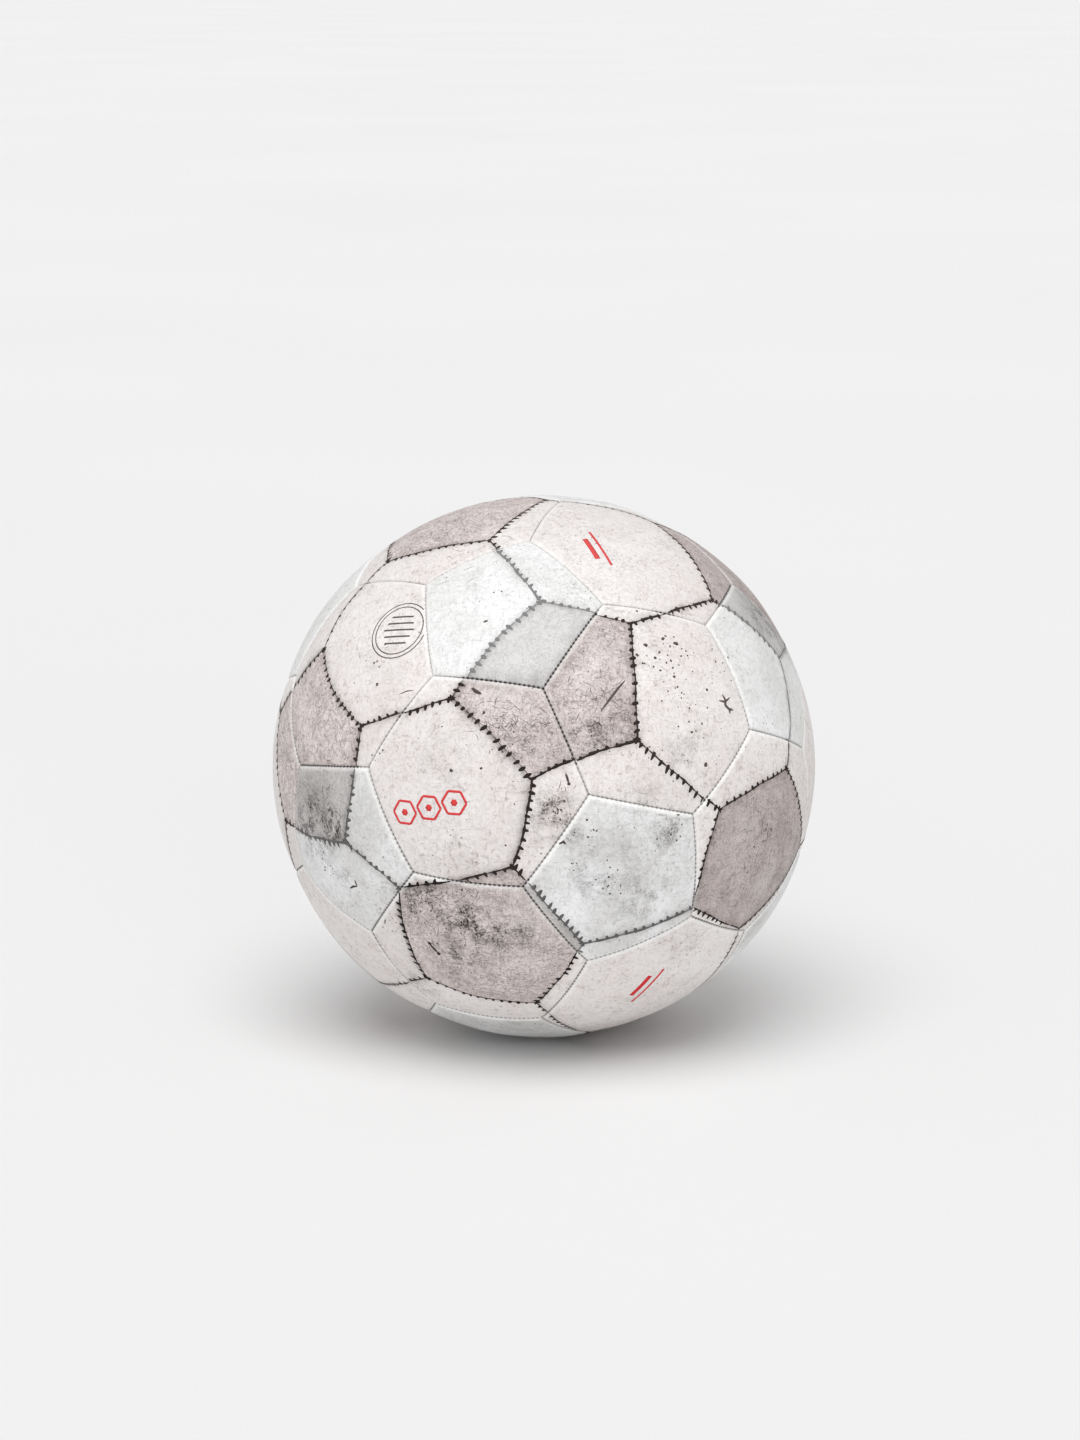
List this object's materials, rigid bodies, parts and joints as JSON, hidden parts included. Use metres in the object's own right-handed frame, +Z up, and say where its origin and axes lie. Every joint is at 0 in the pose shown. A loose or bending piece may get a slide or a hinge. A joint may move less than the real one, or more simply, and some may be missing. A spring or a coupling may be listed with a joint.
{
  "type": "soccer ball",
  "caption": "Stitched round football of hexagonal and pentagonal cover panels over cloth linings and an air bladder, with a needle valve.",
  "frame": {"origin": "centre of the ball", "axes": "+Z up as the ball lies, -Y towards the side that shows the two large hexagons and the printed marks, +X to that side's right; the valve points up and back"},
  "size_m": [0.2199, 0.2191, 0.2188],
  "materials": {
    "hexagon_cover": "off-white grained synthetic leather, printed as worn hide",
    "pentagon_cover": "cool white grained synthetic leather, printed as worn hide",
    "lining_cloth": "layered cotton and polyester cloth",
    "seam_thread": "waxed polyester thread",
    "bladder_rubber": "smooth butyl rubber",
    "valve_rubber": "moulded butyl rubber",
    "print_ink": "dark matt printing ink"
  },
  "bodies": {
    "ball": {"hexagon_panel_01": "hexagon_cover", "hexagon_panel_02": "hexagon_cover", "hexagon_panel_03": "hexagon_cover", "hexagon_panel_04": "hexagon_cover", "hexagon_panel_05": "hexagon_cover", "hexagon_panel_06": "hexagon_cover", "hexagon_panel_07": "hexagon_cover", "hexagon_panel_08": "hexagon_cover", "hexagon_panel_09": "hexagon_cover", "hexagon_panel_10": "hexagon_cover", "hexagon_panel_11": "hexagon_cover", "hexagon_panel_12": "hexagon_cover", "hexagon_panel_13": "hexagon_cover", "hexagon_panel_14": "hexagon_cover", "hexagon_panel_15": "hexagon_cover", "hexagon_panel_16": "hexagon_cover", "hexagon_panel_17": "hexagon_cover", "hexagon_panel_18": "hexagon_cover", "hexagon_panel_19": "hexagon_cover", "hexagon_panel_20": "hexagon_cover", "pentagon_panel_01": "pentagon_cover", "pentagon_panel_02": "pentagon_cover", "pentagon_panel_03": "pentagon_cover", "pentagon_panel_04": "pentagon_cover", "pentagon_panel_05": "pentagon_cover", "pentagon_panel_06": "pentagon_cover", "pentagon_panel_07": "pentagon_cover", "pentagon_panel_08": "pentagon_cover", "pentagon_panel_09": "pentagon_cover", "pentagon_panel_10": "pentagon_cover", "pentagon_panel_11": "pentagon_cover", "pentagon_panel_12": "pentagon_cover", "hexagon_linings": "lining_cloth", "pentagon_linings": "lining_cloth", "hexagon_seam_thread": "seam_thread", "pentagon_seam_thread": "seam_thread", "bladder": "bladder_rubber", "balance_patch": "bladder_rubber", "valve_flange": "bladder_rubber", "valve_stem": "valve_rubber"},
    "valve_plug": {"valve_core": "valve_rubber"}
  },
  "joints": [
    {"name": "valve_core_pull", "type": "slide", "parent": "ball", "child": "valve_plug", "axis": [-0.3961, 0.5642, 0.7244], "range_m": [0, 0.018]}
  ]
}
